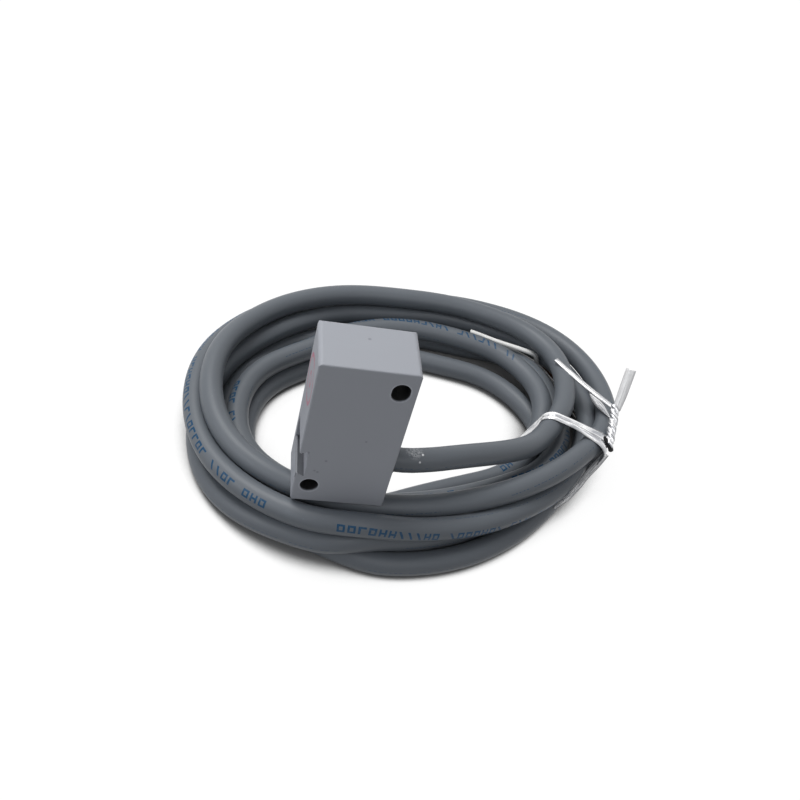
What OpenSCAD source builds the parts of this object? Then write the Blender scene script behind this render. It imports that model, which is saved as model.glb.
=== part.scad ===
// Block inductive proximity switch with its moulded-in cable.
// The origin is the centre of the round fixing hole, at the mounting face.
// +X points to the cable side, +Y out of the mounting face, +Z up.

/* [Body] */
// Width of the body, from the sensing face to the cable side
body_w = 18; // [17:0.5:24]
// Depth of the body, along the fixing screws
body_d = 12; // [11:0.5:16]
// Height of the body
body_h = 35; // [34:0.5:45]
// Thickness of the moulded walls
wall = 1.6; // [1.3:0.1:1.8]
// Rounding of the edges round the mounting face and at the four long corners
back_round = 0.8; // [0.4:0.1:1]
// Rounding of the edges round the front face
front_round = 0.3; // [0.1:0.05:0.4]

/* [Fixing holes] */
// Diameter of the round fixing hole at the low corner
hole_d = 3.5; // [3.2:0.1:3.8]
// Distance of both fixing holes from their side of the body
hole_in_x = 3; // [2.8:0.1:3.4]
// Distance of both fixing holes from their end of the body
hole_in_z = 4.5; // [4:0.1:5]
// Width of the oblong fixing hole at the high corner
slot_w = 3.4; // [3.2:0.1:3.8]
// Length of the oblong fixing hole, along the height
slot_l = 4.1; // [3.9:0.1:5]
// Material left round each fixing hole
boss_wall = 1.5; // [1.2:0.1:1.7]

/* [Dovetail groove] */
// Height of the middle of the groove's mouth above the base
groove_up = 10.35; // [10:0.05:11]
// Width of the groove's mouth
groove_mouth = 5.3; // [4.5:0.1:6]
// How far the groove reaches under its lower lip
groove_under_low = 1; // [0.5:0.1:1.2]
// How far the groove reaches under its upper lip
groove_under_high = 0.7; // [0.5:0.1:1.2]
// Depth of the groove into the sensing side
groove_depth = 1.7; // [1.2:0.1:1.9]
// Length of the groove from the front face
groove_len = 9.6; // [7:0.1:10]
// Rounding of the groove's lips
lip_round = 0.25; // [0.1:0.05:0.35]

/* [Rear cover] */
// Thickness of the rear cover
cover_t = 1.2; // [0.8:0.1:1.5]
// Width of the ledge that the rear cover sits on
ledge = 0.7; // [0.4:0.1:0.9]
// Gap round the rear cover
cover_gap = 0.05; // [0.02:0.01:0.1]
// Thickness of the resin layer under the rear cover
resin_t = 1; // [0.6:0.1:1.2]

/* [Sensing element] */
// Distance of the sensing axis from the top of the body
sense_drop = 9; // [8:0.1:10]
// Outer diameter of the ferrite core
core_d = 8; // [7:0.1:8.2]
// Length of the ferrite core along the sensing axis
core_l = 4.2; // [3.6:0.1:4.4]
// Thickness of the core's outer ring
core_ring = 0.9; // [0.7:0.05:1.1]
// Thickness of the core's back plate
core_back = 1.1; // [0.8:0.1:1.4]
// Diameter of the core's middle post
post_d = 3; // [2.4:0.1:3.2]
// Depth of the pocket in the wall that holds the core
pocket_depth = 0.6; // [0.4:0.1:0.8]
// Width of the core's slot for the coil leads
core_slot = 1.4; // [1.2:0.1:1.8]
// Thickness of the bobbin's tube and flanges
bobbin_t = 0.4; // [0.3:0.05:0.5]
// Gap between the core, the bobbin and the pocket
core_gap = 0.05; // [0.02:0.01:0.1]
// Diameter of the coil's own leads
lead_wire_d = 0.3; // [0.2:0.05:0.4]

/* [Circuit board] */
// Thickness of the circuit board
board_t = 0.8; // [0.6:0.1:1]
// Room between the circuit board and the resin, for the parts on the board's back
back_room = 2; // [1.7:0.1:2.4]
// Diameter of the board posts
board_post_d = 1.6; // [1.2:0.1:1.8]
// Distance of the board posts from the board's edges
board_post_in = 1; // [0.9:0.1:1.2]
// Gap between the circuit board and what stands round it
board_gap = 0.3; // [0.2:0.05:0.4]

/* [Indicator] */
// Height of the indicator above the base
led_up = 16.5; // [16:0.1:18]
// Diameter of the indicator's light window
lens_d = 3; // [2.4:0.1:3.2]
// Diameter of the window's inner flange
lens_flange_d = 4; // [3.6:0.1:4.4]
// Thickness of the window's inner flange
lens_flange_t = 0.5; // [0.4:0.05:0.6]

/* [Cable] */
// Outer diameter of the cable
cable_d = 4.9; // [4.5:0.1:5.2]
// Height of the cable's axis above the base
cable_up = 7.4; // [7.2:0.1:8]
// Length of the cable's jacket inside the body
jacket_in = 4.4; // [4:0.1:5]
// Diameter of each insulated core of the cable
core_wire_d = 1.2; // [1:0.05:1.25]
// Wall of the rubber bush round the cable
bush_wall = 0.8; // [0.6:0.1:1]
// How far the bush's flange stands out past its body
bush_flange = 0.6; // [0.4:0.1:0.7]
// Thickness of the bush's inner flange
bush_flange_t = 0.8; // [0.6:0.1:1]
// How far the bush stands out of the body
bush_out = 1; // [0.6:0.1:1.2]
// Thickness of the crimped clamp ring on the jacket
clamp_t = 0.6; // [0.4:0.1:0.8]
// Length of the clamp ring
clamp_l = 1.6; // [1.2:0.1:2]

/* [Twist tie] */
// Width of the tie's doubled strap
tie_w = 2.6; // [2:0.1:3]
// Thickness of the tie's strap
tie_t = 0.4; // [0.3:0.05:0.5]

/* [Hidden] */
$fn = 48;
eps = 0.01;

// Faces of the body
left_x = -hole_in_x;
right_x = left_x + body_w;
front_y = -body_d;
base_z = -hole_in_z;
top_z = base_z + body_h;
mid_y = front_y + body_d / 2;
slot_x = right_x - hole_in_x;
slot_z = top_z - hole_in_z;
inner_front = front_y + wall;
inner_left = left_x + wall;
inner_right = right_x - wall;
boss_r = hole_d / 2 + boss_wall;
slot_boss_r = slot_w / 2 + boss_wall;
groove_z = base_z + groove_up;

// Sensing element, along X from the pocket's floor inwards
sense_z = top_z - sense_drop;
core_x = inner_left - pocket_depth;
room_r = core_d / 2 - core_ring;
room_l = core_l - core_back;
bobbin_r = room_r - core_gap;
bobbin_l = room_l - core_gap;
tube_r = post_d / 2 + core_gap;

// Circuit board, its front side towards the front wall
board_y = -cover_t - resin_t - back_room - board_t;
post_h = board_y - inner_front;
board_right = inner_right - board_gap;
board_left = core_x + core_l + 3 * board_gap;
cable_z = base_z + cable_up;
board_low = cable_z + cable_d / 2 + bush_flange + bush_wall;
board_high = slot_z - slot_l / 2 - boss_wall - ledge - board_gap;
board_w = board_right - board_left;
board_h = board_high - board_low;
board_mid = [(board_left + board_right) / 2, (board_low + board_high) / 2];
led_z = base_z + led_up;
led_w = 2;
led_y = board_y - led_w / 2;
led_h = 3;
pad_h = 1.4;
pad_t = 1.3;
pad_up = 0.7;
pad_pitch = 1.5;
pad_first = board_left + 1.1;

// Ends of the coil leads: where they leave the winding, and the middle of their two pads
lead_low = sense_z - bobbin_r + core_gap - lead_wire_d / 2;
lead_pad = [board_left + 1.4, lead_low + 0.3];
lead_pad_w = 0.7;
lead_pad_pitch = 1;
lead_pad_t = 0.6;

// Cable and what holds it
jacket_x = inner_right - jacket_in + wall;
exit_x = right_x + bush_out;
bush_r = cable_d / 2 + bush_wall;
bush_in_x = inner_right - bush_flange_t;
core_off = core_wire_d / 2 + 0.05;
layer = cable_d;
floor_z = base_z - 2.8 * layer;

// Coil: middle, and at every 30 degrees its inner radius, outer radius and height in cable layers
coil_mid = [25, 26];
coil_inner = [30.5, 26, 19, 18, 20, 22.5, 31, 36.5, 29, 22, 21.5, 26];
coil_outer = [50, 51.5, 45.5, 41, 41.5, 45.5, 50.5, 52, 50, 45.5, 42, 43];
coil_layers = [3.2, 2.9, 2.8, 2.8, 2.8, 2.8, 2.8, 2.8, 2.8, 2.8, 2.9, 3.7];
coil_rings = 48;
coil_sides = 12;
coil_square = 0.6;

// Lead between the bush and the coil
lead_route = [
    [exit_x, mid_y, cable_z], [19, -6, 2.9], [24, -5.3, 3.1], [29, -3.6, 2.6], [34, -1.2, 1.3],
    [39, 1.2, -0.1], [44, 4, -1.6], [49, 7.2, -3], [53, 10.8, -4.2]
];

// Twist tie: middle of the bundle under it, turn about Z, and its knot and tails
tie_mid = [60.4, 14.6];
tie_turn = -20;
tie_in_w = 17.4;
tie_in_h = 3.4 * layer;
tie_round = 4.5;
knot_route = [[68.4, 11, -4], [69, 13.2, -3], [69.6, 15.4, -2], [70, 17.2, -1], [70.2, 19, 0]];
knot_d = 1.9;
tail_up_route = [[70.2, 19, 0], [70.9, 20.6, 2.6], [71.6, 22.2, 5.4], [72.3, 23.8, 8]];
tail_flat_route = [[70.2, 19, 0], [67.6, 24.6, -1.4], [64.4, 31.2, -2.6], [61, 37.8, -3.4]];

// Stripped cores at the cable's free end
end_routes = [
    [
        [69.4, 26, -16.4], [70.2, 31, -17.2], [70.2, 36.4, -17.6], [69, 42, -17.6],
        [66.6, 47.2, -17.6], [63.2, 51.8, -17.6]
    ],
    [
        [70.6, 26, -16.4], [71.8, 31, -17.2], [72.2, 37, -17.6], [71.4, 43, -17.6],
        [69.4, 48.6, -17.6], [66.6, 53.4, -17.6]
    ],
    [
        [69.4, 26, -15.1], [69, 31, -15.9], [68.4, 36.2, -17.2], [67, 41.4, -17.6],
        [64.4, 46.2, -17.6], [60.8, 50.6, -17.6]
    ],
    [
        [70.6, 26, -15.1], [71.4, 31, -14.6], [71.2, 36, -14], [70.2, 40.6, -13], [68.6, 44.4, -11.8],
        [66.2, 46.8, -10.5], [63, 47.2, -9.4], [59.6, 46.6, -9.6], [55.8, 47.8, -9.7], [51.6, 49.4, -9.9],
        [47.4, 50.8, -10], [43, 52.2, -10]
    ]
];

// One smooth value round the coil from a list that goes once round it
function around(list, angle) =
    let (
        n = len(list),
        f = angle / 360 * n,
        i = floor(f),
        t = f - i,
        a = list[(i + n - 1) % n],
        b = list[i % n],
        c = list[(i + 1) % n],
        d = list[(i + 2) % n]
    )
    b + t / 2 * (c - a + t * (2 * a - 5 * b + 4 * c - d + t * (3 * b - a - 3 * c + d)));

function squared(v) = sign(v) * pow(abs(v), coil_square);
function unit(v) = v / norm(v);
function along(p, i) = unit(p[min(i + 1, len(p) - 1)] - p[max(i - 1, 0)]);

// Both triangles of the patch between two rings of points
function patch(a, b, i, s) =
    let (j = (i + 1) % s)
    [[a * s + i, b * s + i, b * s + j], [a * s + i, b * s + j, a * s + j]];

// Tube of a flat or round section swept along the points, its section kept square to up
module sweep(points, w, h, sides, up) {
    rings = [for (i = [0 : len(points) - 1])
        let (t = along(points, i), n = unit(cross(up, t)), b = cross(t, n))
        for (k = [0 : sides - 1])
            let (a = 360 * (k + 0.5) / sides)
            points[i] + n * cos(a) * w / 2 + b * sin(a) * h / 2];
    last = (len(points) - 1) * sides;
    walls = [for (i = [0 : len(points) - 2]) for (k = [0 : sides - 1]) each patch(i, i + 1, k, sides)];
    polyhedron(rings, concat(walls, [[for (k = [0 : sides - 1]) k]], [[for (k = [sides - 1 : -1 : 0]) last + k]]));
}

// Corner of a square left over outside a round of radius r
module corner_waste(r) {
    difference() {
        translate([-eps, -eps]) square(r + eps);
        translate([r, r]) circle(r);
    }
}

// Rectangle with its four corner radii from the low left one, counter-clockwise
module round_rect(w, h, r) {
    difference() {
        square([w, h]);
        corner_waste(r[0]);
        translate([w, 0]) mirror([1, 0]) corner_waste(r[1]);
        translate([w, h]) rotate(180) corner_waste(r[2]);
        translate([0, h]) mirror([0, 1]) corner_waste(r[3]);
    }
}

// Turns an outline drawn in X and Z into a plate from y to y + t
module plate(y, t) {
    translate([0, y + t, 0]) rotate([90, 0, 0]) linear_extrude(t) children();
}

// Turns a shape made about +Z so that it runs along +X from x, at the given y and z
module along_x(x, y, z) {
    translate([x, y, z]) rotate([0, 90, 0]) children();
}

// Oblong of width w and length l, upright, about its middle
module oblong(w, l) {
    for (s = [-1, 1]) translate([0, s * (l - w) / 2]) circle(w / 2);
    square([w, l - w], center = true);
}

// Solid corners of the body round both fixing holes, with extra material all round
module boss_outline(extra) {
    circle(boss_r + extra);
    translate([left_x, base_z]) square([hole_in_x, hole_in_z + boss_r + extra]);
    translate([left_x, base_z]) square([hole_in_x + boss_r + extra, hole_in_z]);
    translate([slot_x, slot_z]) {
        oblong(2 * (slot_boss_r + extra), slot_l - slot_w + 2 * (slot_boss_r + extra));
        reach = slot_l / 2 + boss_wall + extra;
        translate([0, -reach]) square([hole_in_x, hole_in_z + reach]);
        translate([-slot_boss_r - extra, 0]) square([hole_in_x + slot_boss_r + extra, hole_in_z]);
    }
}

// Outline of the inside, inset from the outside, clear of the fixing bosses
module inner_outline(inset, extra) {
    r = 0.5;
    difference() {
        translate([left_x + inset, base_z + inset])
            round_rect(body_w - 2 * inset, body_h - 2 * inset, [r, r, r, r]);
        boss_outline(extra);
    }
}

module housing_shell() {
    intersection() {
        translate([left_x, front_y, base_z])
            linear_extrude(body_h)
                round_rect(body_w, body_d, [front_round, front_round, back_round, back_round]);
        translate([left_x, front_y, base_z])
            rotate([90, 0, 90]) linear_extrude(body_w)
                round_rect(body_d, body_h, [front_round, back_round, back_round, front_round]);
        plate(front_y, body_d)
            translate([left_x, base_z])
                round_rect(body_w, body_h, [back_round, back_round, back_round, back_round]);
    }
}

// Section of the dovetail groove, its mouth on the sensing side
module groove_outline() {
    low = groove_z - groove_mouth / 2;
    high = groove_z + groove_mouth / 2;
    floor_x = left_x + groove_depth;
    difference() {
        union() {
            polygon([
                [left_x, low], [floor_x, low - groove_under_low], [floor_x, high + groove_under_high],
                [left_x, high]
            ]);
            translate([left_x - 1, low - lip_round]) square([1 + lip_round, groove_mouth + 2 * lip_round]);
        }
        for (z = [low - lip_round, high + lip_round])
            translate([left_x + lip_round, z]) circle(lip_round);
    }
}

// Room left free behind the groove, as a block of solid wall
module groove_backing() {
    low = groove_z - groove_mouth / 2 - groove_under_low - wall;
    high = groove_z + groove_mouth / 2 + groove_under_high + wall;
    translate([left_x, front_y, low]) cube([groove_depth + wall, groove_len + wall, high - low]);
}

// Room of the ferrite core, from the pocket's floor inwards
module core_seat() {
    along_x(core_x, mid_y, sense_z) cylinder(d = core_d + 2 * core_gap, h = core_l + core_gap);
}

// Room of the bush's inner flange, against the wall
module bush_seat() {
    along_x(bush_in_x - core_gap, mid_y, cable_z)
        cylinder(r = bush_r + bush_flange + core_gap, h = bush_flange_t + core_gap);
}

module board_posts() {
    spots = [
        [board_right - board_post_in, board_low + board_post_in],
        [board_right - board_post_in, board_high - board_post_in],
        [board_left + board_post_in, board_high - board_post_in]
    ];
    for (s = spots)
        translate([s[0], inner_front - eps, s[1]])
            rotate([-90, 0, 0]) cylinder(d = board_post_d, h = post_h + eps);
}

module housing() {
    color([0.45, 0.46, 0.49]) {
        difference() {
            housing_shell();
            difference() {
                plate(inner_front, body_d) inner_outline(wall, ledge);
                groove_backing();
            }
            plate(-cover_t, cover_t + 1) inner_outline(wall - ledge, 0);
            translate([0, 1, 0]) rotate([90, 0, 0]) cylinder(d = hole_d, h = body_d + 2);
            plate(front_y - 1, body_d + 2) translate([slot_x, slot_z]) oblong(slot_w, slot_l);
            plate(front_y - 1, groove_len + 1) groove_outline();
            core_seat();
            bush_seat();
            along_x(inner_right - 1, mid_y, cable_z) cylinder(r = bush_r, h = wall + 2);
            along_x(inner_right - 1, led_y, led_z) cylinder(d = lens_d, h = wall + 2);
        }
        board_posts();
    }
}

module rear_cover() {
    color([0.40, 0.41, 0.44])
        plate(-cover_t, cover_t) inner_outline(wall - ledge + cover_gap, cover_gap);
}

// Resin poured under the cover, round what reaches up into it
module potting_resin() {
    color([0.12, 0.12, 0.13])
        difference() {
            plate(-cover_t - resin_t, resin_t) inner_outline(wall, ledge);
            groove_backing();
            core_seat();
            bush_seat();
        }
}

// Ferrite pot core, open towards the sensing face, with a slot for the leads
module ferrite_core() {
    color([0.20, 0.20, 0.21])
        difference() {
            along_x(core_x, mid_y, sense_z)
                rotate_extrude()
                    polygon([
                        [0, 0], [post_d / 2, 0], [post_d / 2, room_l], [room_r, room_l], [room_r, 0],
                        [core_d / 2, 0], [core_d / 2, core_l], [0, core_l]
                    ]);
            translate([core_x + room_l - core_slot, mid_y - core_slot / 2, sense_z - core_d / 2 - 1])
                cube([core_l + core_slot, core_slot, core_ring + 1.5]);
        }
}

module coil_bobbin() {
    color([0.86, 0.84, 0.76])
        along_x(core_x, mid_y, sense_z)
            rotate_extrude()
                polygon([
                    [tube_r, 0], [bobbin_r, 0], [bobbin_r, bobbin_t], [tube_r + bobbin_t, bobbin_t],
                    [tube_r + bobbin_t, bobbin_l - bobbin_t], [bobbin_r, bobbin_l - bobbin_t],
                    [bobbin_r, bobbin_l], [tube_r, bobbin_l]
                ]);
}

module coil_winding() {
    color([0.72, 0.36, 0.16])
        along_x(core_x + bobbin_t, mid_y, sense_z)
            difference() {
                cylinder(r = bobbin_r - core_gap, h = bobbin_l - 2 * bobbin_t);
                translate([0, 0, -1]) cylinder(r = tube_r + bobbin_t, h = bobbin_l + 2);
            }
}

// Both ends of the winding, out through the core's slot to their pads on the board
module coil_leads() {
    slot_mid = core_x + room_l - core_slot / 2;
    color([0.80, 0.42, 0.18])
        for (s = [-1, 1]) {
            y = mid_y + s * lead_wire_d;
            z = lead_pad[1] - s * lead_pad_pitch / 2;
            sweep([
                [slot_mid, y, lead_low], [core_x + core_l, y, lead_low - 0.5],
                [board_left, board_y - lead_pad_t, (lead_low + z) / 2 - 0.4],
                [lead_pad[0] - lead_pad_w, board_y - lead_pad_t / 2, z],
                [lead_pad[0], board_y - lead_pad_t / 2, z]
            ], lead_wire_d, lead_wire_d, 8, [0, 1, 0]);
        }
}

module circuit_board() {
    color([0.10, 0.38, 0.22])
        translate([board_left, board_y, board_low]) cube([board_w, board_t, board_h]);
}

// Block on the board's front (side -1) or back (side 1), its middle at the given X and Z
module chip(side, at, size, lift = 0) {
    y = side < 0 ? board_y - size[1] - lift : board_y + board_t + lift;
    translate([at[0] - size[0] / 2, y, at[1] - size[2] / 2]) cube(size);
}

// Eight-legged amplifier and oscillator chip on the board's back
module oscillator_ic() {
    at = [board_right - 5.6, board_mid[1] + 1.4];
    color([0.13, 0.13, 0.14]) {
        chip(1, at, [3.9, 1.3, 4.9], 0.1);
        for (sx = [-1, 1]) for (k = [-1.5 : 1 : 1.5]) {
            chip(1, [at[0] + sx * 2.2, at[1] + k * 1.2], [0.6, 0.2, 0.4], 0.5);
            chip(1, [at[0] + sx * 2.6, at[1] + k * 1.2], [0.2, 0.7, 0.4]);
        }
    }
}

module output_transistor() {
    at = [board_left + 2, board_low + 4.6];
    size = [3, 1.1, 1.6];
    leg = [0.4, 0.3, 0.6];
    reach = (size[2] + leg[2]) / 2;
    color([0.16, 0.16, 0.17]) {
        chip(-1, at, size);
        chip(-1, [at[0], at[1] - reach], leg);
        for (s = [-1, 1]) chip(-1, [at[0] + 0.95 * s, at[1] + reach], leg);
    }
}

module protection_diode() {
    at = [board_right - 3.6, board_low + 4.8];
    color([0.14, 0.14, 0.15]) {
        chip(-1, at, [2.6, 2.1, 3.6]);
        for (s = [-1, 1]) chip(-1, [at[0], at[1] + s * 1.95], [1.4, 0.9, 0.3]);
    }
}

module zener_diode() {
    at = [board_right - 2.2, board_high - 3.2];
    d = 1.5;
    l = 3.4;
    cap = 0.4;
    color([0.75, 0.45, 0.28])
        translate([at[0] - l / 2, board_y - d / 2, at[1]])
            rotate([0, 90, 0]) {
                cylinder(d = d, h = cap);
                translate([0, 0, cap]) cylinder(d = d - 0.2, h = l - 2 * cap);
                translate([0, 0, l - cap]) cylinder(d = d, h = cap);
            }
}

module supply_capacitor() {
    at = [board_left + 3.65, board_high - 2.3];
    color([0.85, 0.62, 0.16]) {
        chip(-1, at, [2.6, 1.9, 3]);
        for (s = [-1, 1]) chip(-1, [at[0], at[1] + s * 1.6], [1.8, 0.8, 0.2]);
    }
}

module tank_capacitor() {
    color([0.70, 0.60, 0.46]) chip(1, [board_right - 1.3, board_high - 2.4], [1.6, 1.2, 3.2]);
}

module chip_resistors() {
    size = [0.8, 0.45, 1.6];
    color([0.10, 0.10, 0.11]) {
        for (k = [0 : 4]) chip(1, [board_left + 1.6 + 1.7 * k, board_low + 3.3], size);
        chip(1, [board_right - 1.3, board_low + 5.2], size);
    }
}

// Side-looking lamp at the board's edge, behind the light window
module indicator_led() {
    color([0.93, 0.90, 0.86])
        translate([board_right - led_w, led_y - led_w / 2, led_z - led_h / 2])
            cube([led_w, led_w, led_h]);
}

// Red window through the wall, with a flange inside and a low dome outside
module indicator_lens() {
    reach = wall + board_gap;
    dome = 0.3;
    color([0.80, 0.10, 0.08, 0.8])
        translate([right_x, led_y, led_z])
            rotate([0, 90, 0]) rotate_extrude()
                polygon([
                    [0, -reach], [lens_flange_d / 2, -reach], [lens_flange_d / 2, -wall], [lens_d / 2, -wall],
                    [lens_d / 2, 0], [lens_d / 3, dome * 2 / 3], [lens_d / 6, dome], [0, dome]
                ]);
}

// Place of the k-th wire pad on the board, at the pad's lower edge
function pad(k) = [pad_first + k * pad_pitch, board_y - pad_t / 2, board_low + pad_up];

module solder_joints() {
    color([0.78, 0.79, 0.80]) {
        for (k = [0 : 3])
            translate([pad(k)[0] - pad_t / 2, board_y - pad_t, pad(k)[2]])
                cube([pad_t, pad_t, pad_h]);
        for (s = [-1, 1])
            translate([
                lead_pad[0], board_y - lead_pad_t, lead_pad[1] - s * lead_pad_pitch / 2 - lead_pad_w / 2
            ]) cube([lead_pad_w, lead_pad_t, lead_pad_w]);
    }
}

// Rubber bush in the wall, flanged inside and tapered outside
module cable_bush() {
    color([0.20, 0.20, 0.21])
        along_x(bush_in_x, mid_y, cable_z)
            rotate_extrude()
                polygon([
                    [cable_d / 2, 0], [bush_r + bush_flange, 0], [bush_r + bush_flange, bush_flange_t],
                    [bush_r, bush_flange_t], [bush_r, bush_flange_t + wall],
                    [bush_r - bush_wall / 2, bush_flange_t + wall + bush_out],
                    [cable_d / 2, bush_flange_t + wall + bush_out]
                ]);
}

module cable_clamp() {
    color([0.70, 0.71, 0.72])
        along_x(bush_in_x - clamp_l, mid_y, cable_z)
            difference() {
                cylinder(r = cable_d / 2 + clamp_t, h = clamp_l);
                translate([0, 0, -1]) cylinder(r = cable_d / 2, h = clamp_l + 2);
            }
}

module cable_stub() {
    color([0.44, 0.45, 0.47])
        along_x(jacket_x, mid_y, cable_z) cylinder(d = cable_d, h = exit_x - jacket_x);
}

// Core of the cable from the jacket's end to pad k, started dy and dz off the cable's axis
module inner_wire(k, dy, dz) {
    y = mid_y + dy * core_off;
    z = cable_z + dz * core_off;
    p = pad(k);
    run_x = min(p[0] + core_wire_d, jacket_x - core_wire_d / 2);
    sweep([
        [jacket_x, y, z], [run_x, y, z],
        [p[0] + core_wire_d * 0.25, (y + p[1]) / 2, z + core_wire_d * 0.75],
        [p[0], p[1], z + core_wire_d * 1.5], p
    ], core_wire_d, core_wire_d, 8, [0, 1, 0]);
}

module wire_brown() { color([0.36, 0.20, 0.10]) inner_wire(0, -1, -1); }
module wire_blue() { color([0.10, 0.28, 0.62]) inner_wire(1, 1, -1); }
module wire_black() { color([0.06, 0.06, 0.06]) inner_wire(2, -1, 1); }
module wire_white() { color([0.88, 0.88, 0.88]) inner_wire(3, 1, 1); }

module cable_lead() {
    color([0.44, 0.45, 0.47]) sweep(lead_route, cable_d, cable_d, 10, [0, 0, 1]);
}

// Closed outer shape of all the turns, laid flat
module cable_coil() {
    rings = [for (i = [0 : coil_rings - 1])
        let (
            a = 360 * i / coil_rings,
            r0 = around(coil_inner, a),
            r1 = around(coil_outer, a),
            h = around(coil_layers, a) * layer
        )
        for (k = [0 : coil_sides - 1])
            let (
                b = -360 * k / coil_sides,
                r = (r0 + r1) / 2 + (r1 - r0) / 2 * squared(cos(b)),
                z = floor_z + h / 2 * (1 + squared(sin(b)))
            )
            [coil_mid[0] + r * cos(a), coil_mid[1] + r * sin(a), z]];
    color([0.44, 0.45, 0.47])
        polyhedron(rings, [for (i = [0 : coil_rings - 1]) for (k = [0 : coil_sides - 1])
            each patch(i, (i + 1) % coil_rings, k, coil_sides)]);
}

// Closed loop of strap round the bundle, in its own upright plane
module tie_loop() {
    w = tie_in_w + 2 * tie_t;
    h = tie_in_h + 2 * tie_t;
    r = tie_round + tie_t;
    translate([tie_mid[0], tie_mid[1], floor_z])
        rotate([90, 0, tie_turn])
            translate([-w / 2, 0, -tie_w / 2])
                linear_extrude(tie_w)
                    difference() {
                        round_rect(w, h, [r, r, r, r]);
                        translate([tie_t, tie_t])
                            round_rect(tie_in_w, tie_in_h, [tie_round, tie_round, tie_round, tie_round]);
                    }
}

module twist_tie() {
    color([0.86, 0.87, 0.88]) {
        tie_loop();
        sweep(knot_route, knot_d, knot_d, 8, [0, 0, 1]);
        sweep(tail_up_route, tie_t, tie_w, 4, [0, 0, 1]);
        sweep(tail_flat_route, tie_w * 0.6, tie_t, 4, [0, 0, 1]);
    }
}

module end_core(k) {
    sweep(end_routes[k], core_wire_d, core_wire_d, 8, [0, 0, 1]);
}

module end_core_brown() { color([0.36, 0.20, 0.10]) end_core(0); }
module end_core_blue() { color([0.10, 0.28, 0.62]) end_core(1); }
module end_core_black() { color([0.06, 0.06, 0.06]) end_core(2); }
module end_core_white() { color([0.88, 0.88, 0.88]) end_core(3); }

housing();
rear_cover();
potting_resin();
ferrite_core();
coil_bobbin();
coil_winding();
coil_leads();
circuit_board();
oscillator_ic();
output_transistor();
protection_diode();
zener_diode();
supply_capacitor();
tank_capacitor();
chip_resistors();
indicator_led();
indicator_lens();
solder_joints();
cable_bush();
cable_clamp();
cable_stub();
wire_brown();
wire_blue();
wire_black();
wire_white();
cable_lead();
cable_coil();
twist_tie();
end_core_brown();
end_core_blue();
end_core_black();
end_core_white();
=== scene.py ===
"""Looks of a block inductive proximity switch with its coiled cable, twist tie and stripped cores."""
import math
from functools import partialmethod

import bmesh
import bpy
from bpy.props import FloatProperty, FloatVectorProperty, IntProperty, PointerProperty
from bpy.types import Operator, Panel, PropertyGroup
from mathutils import Matrix, Vector
from mathutils.kdtree import KDTree


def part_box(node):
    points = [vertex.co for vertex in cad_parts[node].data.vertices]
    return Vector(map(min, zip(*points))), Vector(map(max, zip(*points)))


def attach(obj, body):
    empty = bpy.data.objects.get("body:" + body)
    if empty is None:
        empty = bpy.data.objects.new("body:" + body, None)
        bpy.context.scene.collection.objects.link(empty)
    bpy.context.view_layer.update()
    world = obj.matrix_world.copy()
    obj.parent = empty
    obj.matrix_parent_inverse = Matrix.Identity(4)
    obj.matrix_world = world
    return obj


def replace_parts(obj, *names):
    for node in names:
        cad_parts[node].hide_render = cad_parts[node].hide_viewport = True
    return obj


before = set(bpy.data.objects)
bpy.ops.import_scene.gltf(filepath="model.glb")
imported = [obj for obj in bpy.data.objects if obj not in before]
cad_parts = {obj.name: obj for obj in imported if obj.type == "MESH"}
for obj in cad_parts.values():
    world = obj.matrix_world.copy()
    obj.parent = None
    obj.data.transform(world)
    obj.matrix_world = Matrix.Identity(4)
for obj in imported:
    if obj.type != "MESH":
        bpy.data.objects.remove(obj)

bl_info = {
    "name": "Inductive proximity switch",
    "version": (1, 0, 0),
    "blender": (4, 5, 0),
    "location": "3D View > Sidebar > Proximity switch",
    "description": "Cable, twist tie, stripped cores and finishes of a block proximity switch",
    "category": "Add Mesh",
}

MM = 0.001

# Width over which a printed edge, or the edge of a painted shade or highlight on the case, fades, in
# metres.
EDGE = 0.0001

# Spacing of the points along each kind of line, in metres. The search line is made to look up the
# place on the cable that is nearest to a point.
LEAD_STEP = 0.0015
CABLE_STEP = 0.002
SEARCH_STEP = 0.0004
CORE_STEP = 0.0006
STRAP_STEP = 0.0006
FILM_STEP = 0.0005
TWIST_STEP = 0.0002

# Facets round a stripped core or a wire, which are thin.
THIN_SIDES = 12

# The cable's centreline once it is laid, which the tie is then pulled round.
LAID = []

# Middle of the cable where it leaves the bush, and the route to the coil, in metres.
LEAD_ROUTE = [
    (0.016, -0.006, 0.0029),
    (0.019, -0.006, 0.0029),
    (0.024, -0.0053, 0.0031),
    (0.029, -0.0036, 0.0026),
    (0.034, -0.0012, 0.0013),
    (0.039, 0.0012, -0.0001),
    (0.044, 0.004, -0.0016),
    (0.049, 0.0072, -0.003),
]

# The coil is laid station by station, each a fixed angle after the last one, from the tie on.
FIRST_STATION = math.radians(330)
STATION_STEP = math.radians(30)

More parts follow.
